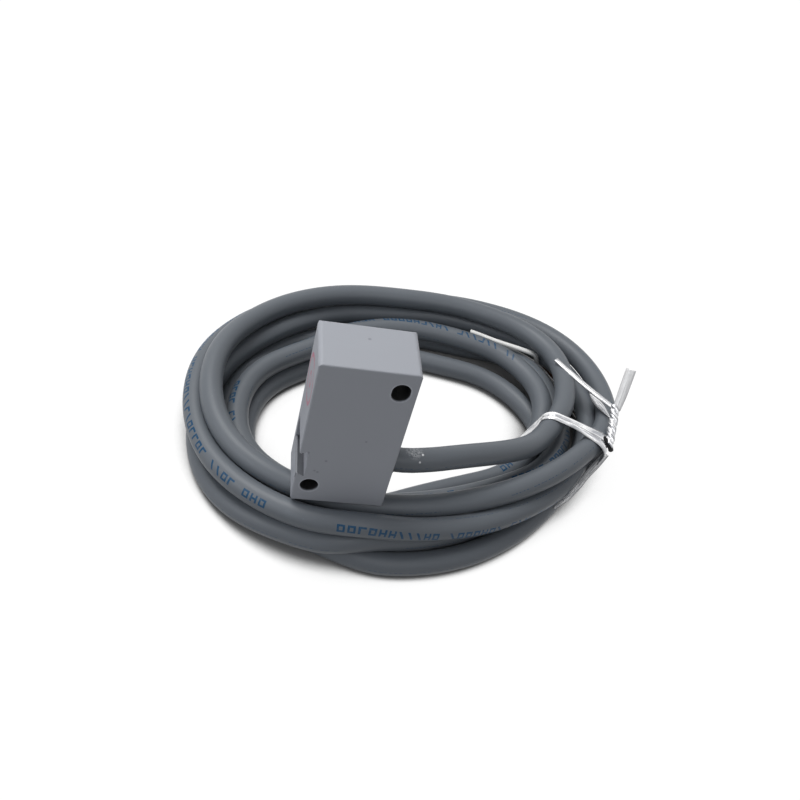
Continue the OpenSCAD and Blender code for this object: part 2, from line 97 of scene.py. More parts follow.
# Each turn's distance from the coil's middle and its height at the stations, in millimetres.
TURNS = [
    # Over the top of the coil, behind the block and under its front
    ((31.0, 36.4, 41.5, 36.5, 32.9, 35.1, 39.6, 44.8, 46.2, 40.0, 34.8, 34.6),
     (-4.4, -4.8, -6.6, -7.0, -7.0, -7.0, -6.8, -5.8, -6.2, -7.0, -7.0, -6.2)),
    # Outermost at the tie, under the first turn behind, then the outer strand on the left and in front
    ((39.6, 47.5, 49.2, 42.6, 38.2, 39.0, 43.2, 47.8, 49.8, 46.8, 39.6, 37.6),
     (-5.0, -7.0, -8.9, -10.6, -12.0, -12.0, -11.0, -9.4, -9.2, -7.2, -8.6, -10.0)),
    # Under the second turn at the tie, the second strand behind, lowest outside on the left
    ((40.2, 44.0, 45.6, 38.0, 32.6, 33.8, 36.6, 45.2, 50.0, 47.4, 38.4, 34.2),
     (-10.2, -10.0, -12.4, -12.0, -12.0, -12.0, -11.4, -14.0, -15.8, -12.0, -13.0, -15.8)),
    # The innermost strand, on the floor all the way
    ((34.8, 33.6, 28.6, 21.8, 20.6, 22.4, 25.4, 35.0, 40.4, 34.8, 25.4, 23.8),
     (-15.8,) * 12),
    # Upper inner strand behind the block
    ((28.6, 32.8, 33.8, 28.6, 26.4, 25.8, 27.0, 36.8, 41.8, 36.2, 30.8, 30.8),
     (-15.0, -10.0, -11.0, -11.1, -11.6, -11.6, -11.2, -12.0, -11.0, -11.5, -11.0, -9.6)),
    # Beside the tie, then low between the others, outermost on the floor in front
    ((35.0, 36.8, 37.8, 31.4, 28.2, 29.8, 35.0, 40.4, 45.4, 44.8, 42.4, 39.4),
     (-9.4, -12.6, -12.8, -15.8, -15.8, -15.8, -15.8, -15.8, -15.8, -15.8, -15.8, -15.8)),
    # The free end, on the floor under the outer strand
    ((39.0, 45.0), (-15.8, -15.8)),
]

# Side of the jacket that its printed line is on: the angle from straight up, outwards, in degrees,
# at each quarter of a turn from the tie on.
PRINT_SIDES = [
    180, 180, 180, 180,
    130, 70, 50, 62,
    120, 180, 180, 180,
    180, 180, 180, 120,
    -10, -5, 60, 10,
    25, 120, 180, 180,
    180,
]

# Colours of the four cores, inside the switch and at the cable's end.
CORE_COLOURS = {
    "brown": (0.10, 0.035, 0.012),
    "blue": (0.015, 0.05, 0.35),
    "black": (0.012, 0.012, 0.013),
    "white": (0.80, 0.80, 0.79),
}

# The stripped cores from the jacket's cut end, in metres.
CORE_ROUTES = {
    "brown": [(0.0694, 0.026, -0.0164), (0.0702, 0.031, -0.0172), (0.0702, 0.0364, -0.0176),
              (0.0698, 0.042, -0.0176), (0.0682, 0.047, -0.0176), (0.0656, 0.0516, -0.0176)],
    "blue": [(0.0706, 0.026, -0.0164), (0.0718, 0.031, -0.0172), (0.0722, 0.037, -0.0176),
             (0.0714, 0.043, -0.0176), (0.0694, 0.0486, -0.0176), (0.0666, 0.0534, -0.0176)],
    "black": [(0.0694, 0.026, -0.0151), (0.069, 0.031, -0.0159), (0.0684, 0.0362, -0.0172),
              (0.068, 0.0414, -0.0176), (0.0664, 0.0462, -0.0176), (0.0638, 0.0506, -0.0176)],
    "white": [(0.0706, 0.026, -0.0151), (0.071, 0.031, -0.0162), (0.0699, 0.036, -0.0164),
              (0.0678, 0.0406, -0.0164), (0.0656, 0.045, -0.0164), (0.0634, 0.0478, -0.0156),
              (0.0618, 0.0484, -0.0138), (0.0609, 0.0478, -0.012), (0.0601, 0.0471, -0.0104),
              (0.0588, 0.0468, -0.0097), (0.0558, 0.0478, -0.0097), (0.0516, 0.0494, -0.0099),
              (0.0474, 0.0508, -0.01), (0.043, 0.0522, -0.01)],
}

# The tie's two twisted ends: the line they turn about, their distance from it, their width, and how
# thick they are at the rim and over the wires.
KNOT_ROUTE = [(0.0684, 0.011, -0.004), (0.069, 0.0132, -0.003), (0.0696, 0.0154, -0.002),
              (0.07, 0.0172, -0.001), (0.0702, 0.019, 0.0)]
KNOT_OFFSET = 0.0006
KNOT_WIDTH = 0.0019
KNOT_RIM = 0.0001
KNOT_RIDGE = 0.00035

# Loose lengths of the tie's film: route, flat direction, widths along it in millimetres, and film.
LOOSE_ENDS = {
    "tie_tail_up": (
        [(0.0707, 0.0188, -0.0003), (0.0713, 0.0205, 0.0024), (0.0718, 0.0222, 0.0053),
         (0.0723, 0.0238, 0.008)],
        (0.8, -0.5, 0.2), (1.8, 2.2, 2.3, 2.3), "white"),
    "tie_tail_flat": (
        [(0.0702, 0.019, 0.0), (0.0676, 0.0246, -0.0014), (0.0644, 0.0312, -0.0026),
         (0.061, 0.0378, -0.0034)],
        (0.9, 0.4, 0.3), (1.2, 1.3, 1.3, 1.2), "bright"),
    "tie_folded_end": (
        [(0.0702, 0.019, -0.003), (0.0698, 0.0222, -0.0038), (0.0692, 0.0254, -0.0046),
         (0.0686, 0.029, -0.0054)],
        (0.8, 0.3, 0.5), (0.3, 1.5, 1.8, 0.3), "bright"),
    "tie_flap": (
        [(0.0684, 0.0104, -0.0062), (0.0666, 0.0088, -0.0082), (0.064, 0.0062, -0.0094),
         (0.0612, 0.0028, -0.01), (0.0586, 0.0006, -0.0118), (0.0564, -0.0006, -0.0138)],
        (0.7, -0.65, -0.2), (1.6, 1.7, 1.5, 1.3, 1.2, 0.5), "milky"),
}

# Cut of a loose film: places in half widths and heights in metres.
LOOSE_FILM = [(-1.0, 0.0001), (0.0, 0.00016), (1.0, 0.0001), (1.0, -0.0001), (0.0, -0.00004),
              (-1.0, -0.0001)]

# The tie's bent wire end.
WIRE_END_RADIUS = 0.0006
WIRE_END_ROUTE = [(0.067, 0.0124, -0.0032), (0.0679, 0.0115, -0.0036), (0.0688, 0.0109, -0.0044),
                  (0.0694, 0.0109, -0.0054)]

# Small nicks in the case, each with its middle and size.
NICKS = [
    ((0.0060, -0.0039, 0.0305), 0.0004),
    ((0.0084, -0.012, 0.0132), 0.0003),
    ((0.0021, -0.012, 0.0071), 0.00035),
    ((0.0010, -0.012, 0.0039), 0.00035),
    ((0.0004, -0.012, 0.0042), 0.0003),
]

# The sensing face's two rings, each with its radius and half of its line's width.
RINGS = [(0.0044, 0.0004), (0.0013, 0.0003)]

# The fixing holes, each with its x, z, radius and half of the straight stretch that makes it a slot.
HOLES = [(0.0, 0.0, 0.00175, 0.0), (0.012, 0.026, 0.0017, 0.00035)]

# The groove's lower wall, where shade is painted into the case's colour: its ends in x, and in z its
# bottom and the two ends of its fading top.
GROOVE_WALL_X = (-0.00298, -0.00134)
GROOVE_WALL_Z = (0.0018, 0.0031, 0.0034)

# A smear of glue and two white dots on the cable near its exit, with their middles and sizes.
GLUE_SMEAR = ((0.0198, -0.0058, 0.0052), 0.0019)
WHITE_DOTS = [((0.0214, -0.0064, 0.0053), 0.0003), ((0.0209, -0.0078, 0.0046), 0.0003)]


# Settings of the kinds that repeat, each with its own unit.
def as_length(name, description, default, precision=4, **limits):
    return FloatProperty(name=name, description=description, default=default, unit="LENGTH",
                         precision=precision, **limits)


def as_point(name, description, default, precision=4):
    return FloatVectorProperty(name=name, description=description, default=default, unit="LENGTH",
                               size=len(default), precision=precision)


def as_angle(name, description, degrees):
    return FloatProperty(name=name, description=description, default=math.radians(degrees),
                         unit="ROTATION")


def as_colour(name, description, default):
    return FloatVectorProperty(name=name, description=description, default=default, subtype="COLOR",
                               size=3, min=0, max=1)


class CableSizes(PropertyGroup):
    diameter: as_length("Diameter", "Outer diameter of the jacket", 0.0049, min=0.003, max=0.008)
    middle: as_point("Coil middle", "Point that the coil is wound round, seen from above", (0.025, 0.026))
    floor: as_length("Floor", "Height of the surface that the coil lies on", -0.01822, precision=5)
    sides: IntProperty(
        name="Sides", description="Facets round the jacket", default=24, min=8, max=48)
    core: as_length("Core diameter", "Outer diameter of one stripped core", 0.0012, min=0.0006, max=0.002)


class TieSizes(PropertyGroup):
    middle: as_point("Middle", "Middle of the bundle under the tie", (0.0604, 0.0146, -0.009))
    turn: as_angle("Turn", "Turn of the tie's plane about the upright", -20)
    reach: as_length("Reach", "Strands nearer than this to the middle are inside the tie", 0.014)
    width: as_length("Width", "Width of the flat film", 0.0027, min=0.001, max=0.006)
    flare: as_length("Flare", "How much wider the film lies at the outer side of the bundle", 0.0022,
                     min=0, max=0.003)
    thickness: as_length("Thickness", "Thickness of the film at its edges", 0.0002, precision=5,
                         min=0.0001, max=0.001)
    ridge: as_length("Ridge", "Height of the film over its two wires", 0.00045, precision=5,
                     min=0.0001, max=0.001)
    twists: FloatProperty(
        name="Twists", description="Full turns of the twisted ends", default=2.0, min=1, max=8)


class FinishColours(PropertyGroup):
    case: as_colour("Case", "Moulded housing", (0.325, 0.34, 0.378))
    jacket: as_colour("Jacket", "Outer jacket of the cable", (0.121, 0.135, 0.153))
    print_blue: as_colour("Print", "Printed marks on the jacket", (0.002, 0.046, 0.11))
    ring_red: as_colour("Ring", "Printed ring round the sensing spot", (0.42, 0.14, 0.20))
    floor: as_colour("Floor", "Surface under the coil", (0.24, 0.24, 0.24))


class StageSizes(PropertyGroup):
    eye: as_point("Eye", "Where the camera stands", (-0.02018, -0.12476, 0.13092), precision=5)
    aim: as_point("Aim", "Point in the middle of the picture", (0.01956, 0.01393, 0.0), precision=5)
    roll: as_angle("Roll", "Turn of the camera round its line of sight", 17.18)
    lens: FloatProperty(
        name="Lens", description="Focal length on a 36 mm sensor, in millimetres", default=41.2)


GROUPS = {
    "switch_cable": CableSizes,
    "switch_tie": TieSizes,
    "switch_colours": FinishColours,
    "switch_stage": StageSizes,
}


class Shader:
    """A node tree, with short calls that add and join its nodes."""

    def __init__(self, tree):
        self.nodes = tree.nodes
        self.links = tree.links

    def add(self, kind, inputs=None, **settings):
        node = self.nodes.new(kind)
        for key, value in settings.items():
            setattr(node, key, value)
        for key, value in (inputs or {}).items():
            self.put(node, key, value)
        return node

    def put(self, node, key, value):
        """Joins an output to a node's input, or sets the input to a plain value."""
        if isinstance(value, bpy.types.NodeSocket):
            self.links.new(value, node.inputs[key])
        else:
            node.inputs[key].default_value = value

    def math(self, operation, *values, clamp=False):
        node = self.add("ShaderNodeMath", dict(enumerate(values)), operation=operation, use_clamp=clamp)
        return node.outputs[0]

    plus = partialmethod(math, "ADD")
    less = partialmethod(math, "SUBTRACT")
    over = partialmethod(math, "DIVIDE")
    larger = partialmethod(math, "MAXIMUM")
    above = partialmethod(math, "GREATER_THAN")
    below = partialmethod(math, "LESS_THAN")
    size = partialmethod(math, "ABSOLUTE")
    floor = partialmethod(math, "FLOOR")

    def times(self, *values):
        result = values[0]
        for value in values[1:]:
            result = self.math("MULTIPLY", result, value)
        return result

    def between(self, value, low, high):
        return self.times(self.above(value, low), self.below(value, high))

    def near(self, value, middle, half):
        """Mask of 1 where a value is within half a width of a middle."""
        return self.below(self.size(self.less(value, middle)), half)

    def distance(self, a, b):
        """Length of the way that goes a across and b up."""
        return self.math("SQRT", self.plus(self.times(a, a), self.times(b, b)))

    def mix(self, factor, a, b):
        return self.add("ShaderNodeMix", {0: factor, 6: a, 7: b}, data_type="RGBA").outputs[2]

    def noise(self, vector, scale, detail=3.0, roughness=0.55):
        node = self.add("ShaderNodeTexNoise", {"Vector": vector, "Scale": scale,
                                               "Detail": detail, "Roughness": roughness})
        return node.outputs["Fac"]

    def chance(self, value):
        """A random number from 0 to 1 that is the same wherever the value is."""
        return self.add("ShaderNodeTexWhiteNoise", {"W": value}, noise_dimensions="1D").outputs["Value"]

    def remap(self, value, low, high, to_low=0.0, to_high=1.0):
        node = self.add("ShaderNodeMapRange", {"Value": value, "From Min": low, "From Max": high,
                                               "To Min": to_low, "To Max": to_high}, clamp=True)
        return node.outputs["Result"]

    def place(self):
        return self.add("ShaderNodeTexCoord").outputs["Object"]

    def attribute(self, name):
        return self.add("ShaderNodeAttribute", attribute_name=name).outputs["Fac"]

    def spot(self, place, middle, size):
        """Mask of 1 within half a size of a point, fading out up to its full size."""
        far = self.add("ShaderNodeVectorMath", {0: place, 1: middle}, operation="DISTANCE")
        return self.remap(far.outputs["Value"], size / 2, size, 1.0, 0.0)

    def group(self, tree, **values):
        """Places a node group; an underscore in a value's name stands for a space."""
        node = self.add("ShaderNodeGroup", node_tree=tree)
        for key, value in values.items():
            self.put(node, key.replace("_", " "), value)
        return node.outputs


class Finish(Shader):
    """A material whose colour is built up with one stain after another."""

    def __init__(self, name, colour=None):
        self.made = bpy.data.materials.new(name)
        self.made.use_nodes = True
        super().__init__(self.made.node_tree)
        self.shader = self.nodes["Principled BSDF"]
        self.colour = colour

    def set(self, key, value):
        self.put(self.shader, key, value)

    def stain(self, colour, mask, share=1.0):
        """Lays a colour over what is there, where a mask is and as strongly as its share."""
        self.colour = self.mix(self.times(mask, share), self.colour, colour)
        self.set("Base Color", self.colour)

    def bump(self, height, strength, depth):
        node = self.add("ShaderNodeBump", {"Height": height, "Strength": strength, "Distance": depth})
        self.set("Normal", node.outputs["Normal"])

    def moulding(self, colour, rough, drift, grain, flow, bump, depth=0.00004):
        """The grain of a moulding, which the stains are laid on."""
        grained = self.group(moulded_grain(), Colour=four(colour), Drift=drift, Grain_size=grain,
                             Flow_size=flow, Roughness=rough)
        self.colour = grained["Colour"]
        self.set("Roughness", grained["Roughness"])
        self.bump(grained["Height"], bump, depth)


def four(colour, level=1.0):
    """A colour with its alpha, made lighter or darker by a factor."""
    return (*(min(1.0, c * level) for c in colour), 1.0)


def socket(tree, name, kind, default=None, output=False):
    item = tree.interface.new_socket(name, in_out="OUTPUT" if output else "INPUT",
                                     socket_type="NodeSocket" + kind)
    if default is not None:
        item.default_value = default


def shader_group(name, inputs, outputs, build):
    """A shader node group, made the first time it is asked for; build gives its outputs' values."""
    if name in bpy.data.node_groups:
        return bpy.data.node_groups[name]
    tree = bpy.data.node_groups.new(name, "ShaderNodeTree")
    for key, default in inputs.items():
        socket(tree, key, "Float" if isinstance(default, float) else "Color", default)
    for key in outputs:
        socket(tree, key, "Color" if key == "Colour" else "Float", output=True)
    work = Shader(tree)
    made = build(work, work.add("NodeGroupInput").outputs)
    out = work.add("NodeGroupOutput")
    for key, value in zip(outputs, made):
        work.put(out, key, value)
    return tree


def moulded_grain():
    return shader_group(
        "Moulded grain",
        {"Colour": (0.5, 0.5, 0.5, 1), "Drift": 0.06, "Grain size": 6000.0, "Flow size": 120.0,
         "Roughness": 0.5},
        ("Colour", "Roughness", "Height"), build_grain)


def build_grain(work, given):
    """Slow drift of a moulding's shade and its fine spark-eroded grain."""
    at = work.place()
    flow = work.noise(at, given["Flow size"], 2.0)
    grain = work.noise(at, given["Grain size"], 2.0)
    shade = work.plus(work.times(flow, 0.7), work.times(grain, 0.3))
    change = work.times(work.less(shade, 0.5), given["Drift"])
    level = work.math("MULTIPLY_ADD", change, 4.0, 1.0)
    colour = work.add("ShaderNodeVectorMath", {0: given["Colour"]}, operation="SCALE")
    work.put(colour, "Scale", level)
    rough = work.plus(given["Roughness"], work.times(change, 2.0), clamp=True)
    return colour.outputs[0], rough, grain


def handling_marks():
    return shader_group(
        "Handling marks", {"Speck spacing": 300.0, "Speck size": 0.06, "Rub size": 160.0},
        ("Specks", "Nicks", "Rubs"), build_handling)


def build_handling(work, given):
    """Dust specks, small dark nicks and long faint rubs, as masks from 0 to 1."""
    at = work.place()
    masks = []
    for shift in (0.0, 0.37):
        moved = work.add("ShaderNodeVectorMath", {0: at, 1: (shift, shift, shift)}, operation="ADD")
        cells = work.add("ShaderNodeTexVoronoi", {"Vector": moved.outputs[0],
                                                  "Scale": given["Speck spacing"]})
        small = work.below(cells.outputs["Distance"], given["Speck size"])
        colour = work.add("ShaderNodeSeparateColor", {"Color": cells.outputs["Color"]})
        few = work.above(colour.outputs[0], 0.82)
        masks.append(work.times(small, few))
    long = work.add("ShaderNodeMapping", {"Vector": at, "Scale": (0.25, 1.0, 1.0),
                                          "Rotation": (0.0, 0.3, 0.5)})
    rub = work.noise(long.outputs[0], given["Rub size"], 6.0, 0.7)
    return *masks, work.remap(rub, 0.58, 0.78)


def printed_marks():
    return shader_group(
        "Printed marks", {"Along": 0.0, "Side": 0.0, "Pitch": 0.0019, "Half height": 0.0008},
        ("Mask",), build_marks)


def build_marks(work, given):
    """Row of plain printed marks along a line: hollow boxes, pairs of bars, corners and slanted bars."""
    steps = work.over(given["Along"], given["Pitch"])
    across = work.less(work.math("FRACT", steps), 0.5)
    wide = work.size(across)
    up = work.over(given["Side"], given["Half height"])
    tall = work.size(up)
    # Across, a mark is measured in pitches from its middle; upwards, in half heights.
    half_mark, half_gap, half_bar = 0.38, 0.17, 0.14
    inside = work.times(work.below(wide, half_mark), work.below(tall, 1.0))
    hollow = work.larger(work.above(wide, half_gap), work.above(tall, 0.5))
    pair = work.larger(work.above(wide, half_gap), work.below(tall, 0.25))
    corner = work.larger(work.below(across, -half_bar), work.below(up, -0.5))
    slant = work.near(across, work.times(up, 0.26), half_bar)
    # A mark's random number chooses its shape, up to each of these limits, and none below the first.
    kind = work.chance(work.floor(steps))
    mask, low = 0.0, 0.1
    for high, shape in ((0.4, hollow), (0.62, pair), (0.8, corner), (2.0, slant)):
        mask = work.plus(mask, work.times(work.between(kind, low, high), shape))
        low = high
    marks_in_word, printed_words = 7.0, 0.72
    word = work.chance(work.floor(work.over(steps, marks_in_word)))
    return [work.times(mask, inside, work.below(word, printed_words))]


def plain_finish(name, colour, rough=0.5, drift=0.06, grain=6000.0, flow=120.0, bump=0.15,
                 metal=0.0, coat=0.0, specular=0.5):
    """The finish that most pieces share: moulded grain with rubs and nicks."""
    look = Finish(name)
    look.moulding(colour, rough, drift, grain, flow, bump)
    worn = look.group(handling_marks())
    look.stain(four(colour, 1.25), worn["Rubs"], 0.12)
    look.stain(four(colour, 0.35), worn["Nicks"], 0.3)
    look.set("Metallic", metal)
    look.set("Coat Weight", coat)
    look.set("Specular IOR Level", specular)
    return look.made


def case_finish(colours):
    """Grey moulded case: satin grain, ring print on the sensing face, painted shade in the bores and on
    the groove's lower wall, painted highlights round the holes, rubs and nicks.
    """
    case = colours.case
    look = Finish("case grey")
    look.moulding(case, 0.55, 0.02, 9000.0, 60.0, 0.12, 0.00003)
    worn = look.group(handling_marks(), Speck_spacing=170.0, Speck_size=0.05, Rub_size=90.0)
    place = look.place()
    at = look.add("ShaderNodeSeparateXYZ", {"Vector": place}).outputs
    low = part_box("housing")[0]
    look.stain(four(case, 1.25), worn["Rubs"], 0.08)
    look.stain(four(case, 0.5), worn["Nicks"], 0.25)
    for nick, size in NICKS:
        look.stain(four(case, 0.4), look.spot(place, nick, size), 0.45)
    wear = look.remap(look.noise(place, 900.0, 4.0), 0.36, 0.56, 0.35, 0.95)
    look.stain(four(colours.ring_red), sensing_rings(look, at, low.x), wear)
    # Painted shade: the groove's lower wall is darkened to stand in for the shade it lies in.
    look.stain(four(case, 0.28), painted_groove_shade(look, at, low.y), 0.85)
    for hole in HOLES:
        bore_shade, rim = hole_shade_and_highlight(look, at, low.y, *hole)
        # Painted shade makes each bore near black, and a painted highlight lightens the case round its
        # mouth.
        look.stain((0.006, 0.006, 0.007, 1), bore_shade)
        look.stain(four(case, 1.6), rim, 0.5)
    look.set("Specular IOR Level", 0.4)
    return look.made


def sensing_rings(look, at, face):
    """Mask of the rings on the sensing face, round the ferrite core's middle."""
    low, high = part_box("ferrite_core")
    middle = (low + high) / 2
    away = look.distance(look.less(at["Y"], middle.y), look.less(at["Z"], middle.z))
    rings = [look.near(away, radius, half) for radius, half in RINGS]
    return look.times(look.larger(*rings), look.below(at["X"], face + 1.5 * EDGE))


def painted_groove_shade(look, at, front):
    """Mask of the groove's lower wall, where shade is painted into the case's colour."""
    bottom, fading, top = GROOVE_WALL_Z
    return look.times(look.remap(at["Z"], fading, top, 1.0, 0.0), look.above(at["Z"], bottom),
                      look.between(at["X"], *GROOVE_WALL_X), look.above(at["Y"], front + EDGE / 2))


def hole_shade_and_highlight(look, at, front, x, z, radius, half):
    """Masks of the painted shade in a fixing hole's bore and of the painted highlight on the rim round it.
    """
    past = look.larger(look.less(look.size(look.less(at["Z"], z)), half), 0.0)
    away = look.distance(look.less(at["X"], x), past)
    # Painted shade in the bore, past the front face.
    bore_shade = look.times(look.below(away, radius + 0.4 * EDGE),
                      look.remap(at["Y"], front + EDGE, front + 5 * EDGE))
    # Painted highlight round the hole's mouth on the front face.
    rim = look.times(look.remap(away, radius + EDGE, radius + 3 * EDGE, 1.0, 0.0),
                     look.below(at["Y"], front + EDGE))
    return bore_shade, rim


def jacket_finish(colours, name="cable jacket", printed=True):
    """Matt grey jacket with rubs and dust; a printed one also has blue marks, a glue smear and dots."""
    grey = colours.jacket
    look = Finish(name)
    look.moulding(grey, 0.43, 0.03, 3500.0, 70.0, 0.2)
    worn = look.group(handling_marks(), Speck_spacing=420.0, Speck_size=0.045, Rub_size=240.0)
    look.stain(four(grey, 1.4), worn["Rubs"], 0.12)
    look.stain(four(grey, 2.4), worn["Specks"], 0.22)
    if printed:
        place = look.place()
        marks = look.group(printed_marks(), Along=look.attribute("along"), Side=look.attribute("side"))
        fade = look.remap(look.noise(place, 1500.0, 3.0), 0.34, 0.5, 0.75, 1.0)
        look.stain(four(colours.print_blue), marks["Mask"], fade)
        broken = look.remap(look.noise(place, 2600.0, 4.0, 0.7), 0.46, 0.54)
        smear = look.times(look.spot(place, *GLUE_SMEAR), broken)
        look.stain((0.62, 0.64, 0.66, 1), smear, 0.45)
        for dot, size in WHITE_DOTS:
            look.stain((0.85, 0.86, 0.88, 1), look.spot(place, dot, size))
    look.set("Specular IOR Level", 0.28)
    return look.made


def film_finish(name, clear=0.0, contrast=1.0):
    """Bright film with painted dark reflections streaked along it, and painted shade at its middle fold
    and its edges; the streaks also vary its roughness and clearness.
    """
    look = Finish(name, (0.97, 0.97, 0.98, 1))
    side = look.attribute("side")
    stretched = look.add("ShaderNodeCombineXYZ", {"X": look.times(look.attribute("along"), 220.0),
                                                  "Y": look.times(side, 3.0)})
    streak_and_reflection = look.noise(stretched.outputs[0], 1.0, 4.0, 0.6)
    # Painted dark reflections in streaks along the film.
    look.stain((0.42, 0.43, 0.46, 1), look.remap(streak_and_reflection, 0.40, 0.56, contrast, 0.0))
    # Painted shade in the middle fold.
    fold_shade = look.size(look.less(side, 0.02))
    look.stain((0.20, 0.205, 0.22, 1), look.remap(fold_shade, 0.04, 0.1, 0.75 * contrast, 0.0))
    # Painted shade along the film's edges.
    edge = look.remap(look.size(side), 0.74, 0.92, 0.0, 0.75 * contrast)
    look.stain((0.16, 0.165, 0.18, 1), edge)
    look.set("Roughness", look.remap(streak_and_reflection, 0.3, 0.7, 0.14, 0.32))
    look.set("Alpha", look.remap(streak_and_reflection, 0.3, 0.7, 1.0 - clear, 1.0 - clear * 0.4))
    look.set("Metallic", 0.0 if clear else 0.55)
    look.set("Coat Weight", 0.3)
    look.bump(look.noise(look.place(), 900.0, 3.0, 0.5), 0.35, 0.0001)
    return look.made


def linked(name, data):
    """A new object in the scene."""
    made = bpy.data.objects.new(name, data)
    bpy.context.scene.collection.objects.link(made)
    return made


def new_piece(mesh, finish):
    """A visible piece with its mesh's name and its finish, on the object's one body."""
    piece = linked(mesh.name, mesh)
    mesh.materials.clear()
    mesh.materials.append(finish)
    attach(piece, "root")
    return piece


def dress(node, finish):
    """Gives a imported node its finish; its mesh stays as it is."""
    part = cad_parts[node]
    if not part.material_slots:
        part.data.materials.append(finish)
    for place in part.material_slots:
        place.material = finish


def smooth_between(values, at):
    """Value of a cubic curve through a row of values, at a place between two of them."""
    at = min(max(at, 0.0), len(values) - 1.0)
    i = min(int(at), len(values) - 2)
    t = at - i
    a = values[max(i - 1, 0)]
    b = values[i]
    c = values[i + 1]
    d = values[min(i + 2, len(values) - 1)]
    return b + t / 2 * (c - a + t * (2 * a - 5 * b + 4 * c - d + t * (3 * b - a - 3 * c + d)))


def along_route(route, step):
    """Points at most a step apart on a smooth curve through a given route."""
    points = []
    for i in range(len(route) - 1):
        count = max(1, math.ceil((Vector(route[i + 1]) - Vector(route[i])).length / step))
        points += [tuple(smooth_between([p[k] for p in route], i + j / count) for k in range(3))
                   for j in range(count)]
    return [Vector(p) for p in points] + [Vector(route[-1])]


def coil_line(sizes):
    """The cable's centreline from the bush to its cut end, as it is laid."""
    radii = [r for turn in TURNS for r in turn[0]]
    heights = [z for turn in TURNS for z in turn[1]]
    per_station = 10
    line = along_route(LEAD_ROUTE, LEAD_STEP)
    count = (len(radii) - 1) * per_station
    for k in range(count + 1):
        at = k / per_station
        angle = FIRST_STATION + STATION_STEP * at
        radius = smooth_between(radii, at) * MM
        line.append(Vector((sizes.middle[0] + radius * math.cos(angle),
                            sizes.middle[1] + radius * math.sin(angle),
                            smooth_between(heights, at) * MM)))
    return line


def stations(line, sizes):
    """How many stations round the coil each point of the line is past the first one."""
    out = []
    for point in line:
        angle = math.atan2(point.y - sizes.middle[1], point.x - sizes.middle[0]) - FIRST_STATION
        last = out[-1] * STATION_STEP if out else -math.pi / 2
        angle += math.tau * round((last - angle) / math.tau)
        out.append(angle / STATION_STEP)
    return out


def lengths(line):
    """Length of the line up to each of its points."""
    total = [0.0]
    for a, b in zip(line, line[1:]):
        total.append(total[-1] + (b - a).length)
    return total


def even_line(line, step):
    """The same line with its points evenly spaced."""
    total = lengths(line)
    count = round(total[-1] / step)
    out, i = [], 0
    for k in range(count + 1):
        want = total[-1] * k / count
        while i < len(line) - 2 and total[i + 1] < want:
            i += 1
        share = (want - total[i]) / max(total[i + 1] - total[i], 1e-9)
        out.append(line[i].lerp(line[i + 1], min(1.0, share)))
    return out


def search_tree(points):
    """A tree that finds the points near a place."""
    tree = KDTree(len(points))
    for i, point in enumerate(points):
        tree.insert(point, i)
    tree.balance()
    return tree


def resting(context):
    """Two limits at a strand's place: how low its underside and how high its top may be."""
    sizes = context.scene.switch_cable
    tie = context.scene.switch_tie
    ahead = Vector((-math.sin(tie.turn), math.cos(tie.turn), 0.0))
    low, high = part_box("housing")
    spread, margin = 0.004, 0.002

    def underside(point):
        """The floor, and under the tie its film on the floor."""
        away = point - Vector(tie.middle)
        if away.length >= tie.reach + sizes.diameter:
            return sizes.floor
        return sizes.floor + (tie.thickness + tie.ridge) * math.exp(-(away.dot(ahead) / spread) ** 2)

    def top(point):
        """The block's lower end over a strand under it, or else no limit."""
        under = all(low[k] - margin < point[k] < high[k] + margin for k in (0, 1)) and point.z < low.z
        return low.z if under else 1.0

    return underside, top


def settled(line, diameter, radius, rest, fixed, rounds=60):
    """Pushes strands a diameter apart, lifts them off the floor and keeps them under the block."""
    underside, top = rest
    step = (line[1] - line[0]).length
    apart = round(3 * diameter / step)
    reach = round(diameter / step)
    share = 0.25
    for _ in range(rounds):
        tree = search_tree(line)
        push = [Vector() for _ in line]
        for i, point in enumerate(line):
            for near, j, gap in tree.find_range(point, diameter):
                if abs(i - j) > apart:
                    push[i] += (point - near).normalized() * (diameter - gap) * share
        for i in range(fixed, len(line)):
            few = push[max(0, i - reach):i + reach + 1]
            line[i] = line[i] + sum(few, Vector()) / len(few)
            line[i].z = min(max(line[i].z, underside(line[i]) + radius), top(line[i]) - radius)
    return line


def eased(line, fixed, rounds=4):
    """Takes the small kinks out of a line and keeps its first points."""
    for _ in range(rounds):
        line = line[:fixed] + [(line[i - 1] + line[i] * 2 + line[i + 1]) / 4
                               for i in range(fixed, len(line) - 1)] + line[-1:]
    return line


def clear_of(route, line, gap, low, first=8, rounds=20):
    """Moves a stripped core out of the strands beside it, past the first points in the cut end."""
    tree = search_tree(even_line(line, SEARCH_STEP))
    for _ in range(rounds):
        for i in range(first, len(route)):
            near, _, away = tree.find(route[i])
            if away < gap:
                route[i] = near + (route[i] - near).normalized() * gap
            route[i].z = max(route[i].z, low)
        route = eased(route, first, 1)
    return route


def noted(work, geometry, name, value):
    """Notes a value on each point of a curve, to be read once it is swept."""
    kept = work.add("GeometryNodeCaptureAttribute", {"Geometry": geometry})
    kept.capture_items.new("FLOAT", name)
    work.put(kept, name, value)
    return kept.outputs["Geometry"], kept.outputs[name]


